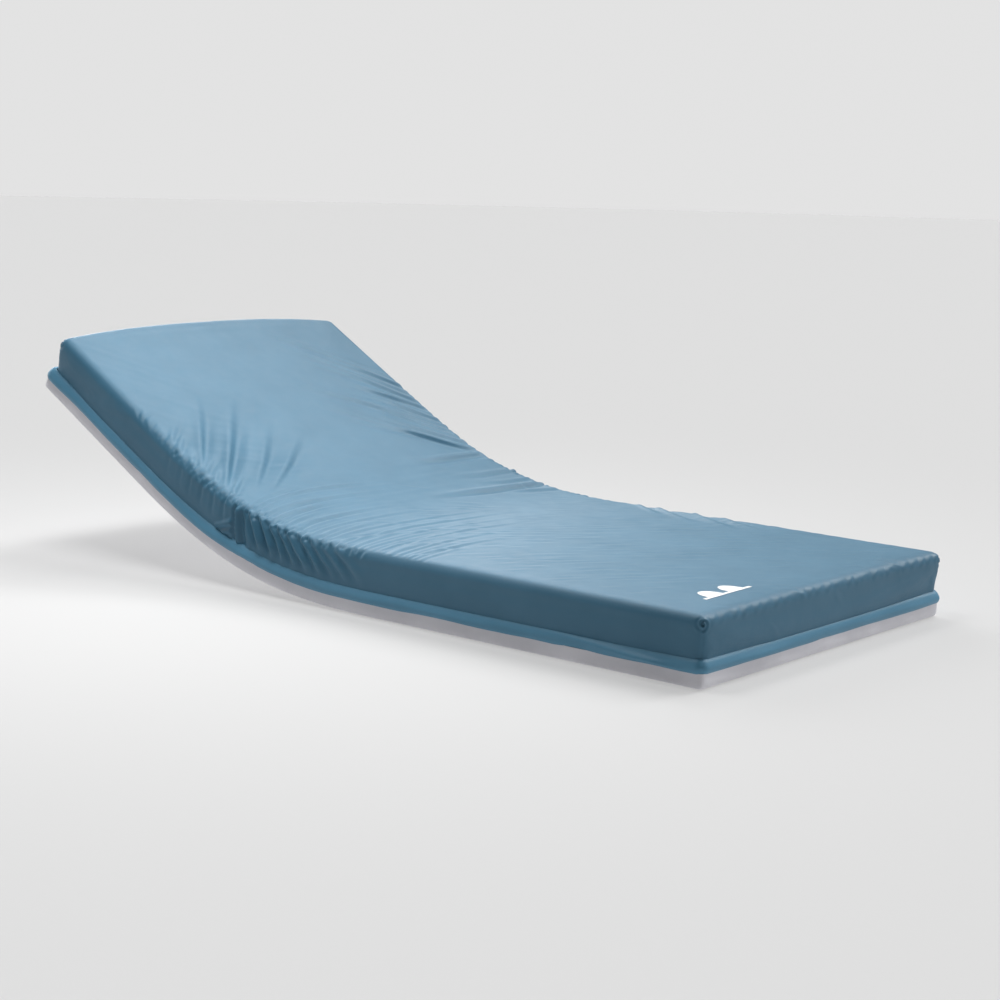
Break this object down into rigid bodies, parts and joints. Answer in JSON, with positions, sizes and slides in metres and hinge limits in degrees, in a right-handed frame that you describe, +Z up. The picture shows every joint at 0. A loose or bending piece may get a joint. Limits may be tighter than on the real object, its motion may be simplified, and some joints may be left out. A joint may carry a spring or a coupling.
{
  "type": "pressure relief mattress",
  "caption": "Foam pressure relief mattress with a zipped two-part cover and flap, shown with its head end raised; bends at the back, hip and knee for a profiling bed.",
  "frame": {"origin": "under the middle of the overall length, on the level the flat foot half rests on, midway between the long sides", "axes": "+X towards the foot end, +Y towards the left of a person lying on it, +Z up"},
  "size_m": [1.916, 0.91, 0.5118],
  "materials": {
    "cover_fabric": "satin polyurethane-coated stretch knit",
    "base_fabric": "matte coated woven polyester",
    "core_foam": "open-cell polyurethane foam",
    "insert_foam": "slow-recovery polyurethane foam",
    "zip_tape": "woven tape with nylon coil",
    "zip_metal": "plated",
    "print_ink": "screen print"
  },
  "bodies": {
    "leg": {"base_cover_leg": "base_fabric", "core_foam_leg": "core_foam", "flap_leg": "cover_fabric", "foot_mark": "print_ink", "insert_foam_leg": "insert_foam", "top_cover_leg": "cover_fabric", "zip_lower_leg": "zip_tape", "zip_upper_leg": "zip_tape"},
    "thigh": {"base_cover_thigh": "base_fabric", "core_foam_thigh": "core_foam", "flap_thigh_left": "cover_fabric", "flap_thigh_right": "cover_fabric", "insert_foam_thigh": "insert_foam", "top_cover_thigh": "cover_fabric", "zip_lower_thigh_left": "zip_tape", "zip_lower_thigh_right": "zip_tape", "zip_upper_thigh_left": "zip_tape", "zip_upper_thigh_right": "zip_tape"},
    "seat": {"base_cover_seat": "base_fabric", "core_foam_seat": "core_foam", "flap_seat_left": "cover_fabric", "flap_seat_right": "cover_fabric", "insert_foam_seat": "insert_foam", "top_cover_seat": "cover_fabric", "zip_lower_seat_left": "zip_tape", "zip_lower_seat_right": "zip_tape", "zip_upper_seat_left": "zip_tape", "zip_upper_seat_right": "zip_tape"},
    "lumbar_lower": {"base_cover_lumbar_lower": "base_fabric", "core_foam_lumbar_lower": "core_foam", "flap_lumbar_lower_left": "cover_fabric", "flap_lumbar_lower_right": "cover_fabric", "insert_foam_lumbar_lower": "insert_foam", "top_cover_lumbar_lower": "cover_fabric", "zip_lower_lumbar_lower_left": "zip_tape", "zip_lower_lumbar_lower_right": "zip_tape", "zip_upper_lumbar_lower_left": "zip_tape", "zip_upper_lumbar_lower_right": "zip_tape"},
    "lumbar_upper": {"base_cover_lumbar_upper": "base_fabric", "core_foam_lumbar_upper": "core_foam", "flap_lumbar_upper_left": "cover_fabric", "flap_lumbar_upper_right": "cover_fabric", "insert_foam_lumbar_upper": "insert_foam", "top_cover_lumbar_upper": "cover_fabric", "zip_lower_lumbar_upper_left": "zip_tape", "zip_lower_lumbar_upper_right": "zip_tape", "zip_upper_lumbar_upper_left": "zip_tape", "zip_upper_lumbar_upper_right": "zip_tape"},
    "back": {"base_cover_back": "base_fabric", "core_foam_back": "core_foam", "flap_back_left": "cover_fabric", "flap_back_right": "cover_fabric", "insert_foam_back": "insert_foam", "top_cover_back": "cover_fabric", "zip_lower_back": "zip_tape", "zip_upper_back": "zip_tape"},
    "flap_head": {"flap_head": "cover_fabric"},
    "zip_slider": {"zip_slider": "zip_metal"},
    "zip_puller": {"zip_puller": "zip_metal"}
  },
  "joints": [
    {"name": "backrest_bend_lower", "type": "hinge", "parent": "seat", "child": "lumbar_lower", "pos_m": [-0.07449, 0, 0.00666], "axis": [0, 1, 0], "range_deg": [-10, 13.33]},
    {"name": "backrest_bend_middle", "type": "hinge", "parent": "lumbar_lower", "child": "lumbar_upper", "pos_m": [-0.2736, 0, 0.04102], "axis": [0, 1, 0], "range_deg": [-10, 13.33]},
    {"name": "backrest_bend_upper", "type": "hinge", "parent": "lumbar_upper", "child": "back", "pos_m": [-0.46321, 0, 0.11082], "axis": [0, 1, 0], "range_deg": [-10, 13.33]},
    {"name": "hip_bend", "type": "hinge", "parent": "seat", "child": "thigh", "pos_m": [0.11302, 0, 0], "axis": [0, -1, 0], "range_deg": [0, 20]},
    {"name": "knee_bend", "type": "hinge", "parent": "thigh", "child": "leg", "pos_m": [0.43302, 0, 0], "axis": [0, -1, 0], "range_deg": [-30, 0]},
    {"name": "flap_lift", "type": "hinge", "parent": "back", "child": "flap_head", "pos_m": [-0.93028, 0, 0.43745], "axis": [0, 1, 0], "range_deg": [0, 90]},
    {"name": "zip_run", "type": "slide", "parent": "back", "child": "zip_slider", "axis": [0, 1, 0], "range_m": [-0.66, 0]},
    {"name": "puller_swing", "type": "hinge", "parent": "zip_slider", "child": "zip_puller", "pos_m": [-0.93932, 0.33, 0.42189], "axis": [-0.5, 0, -0.866], "range_deg": [0, 45]}
  ],
  "couplings": [
    {"joint": "backrest_bend_middle", "follows": "backrest_bend_lower", "ratio": 1},
    {"joint": "backrest_bend_upper", "follows": "backrest_bend_lower", "ratio": 1},
    {"joint": "knee_bend", "follows": "hip_bend", "ratio": -1.5},
    {"joint": "puller_swing", "follows": "flap_lift", "ratio": 0.5}
  ]
}
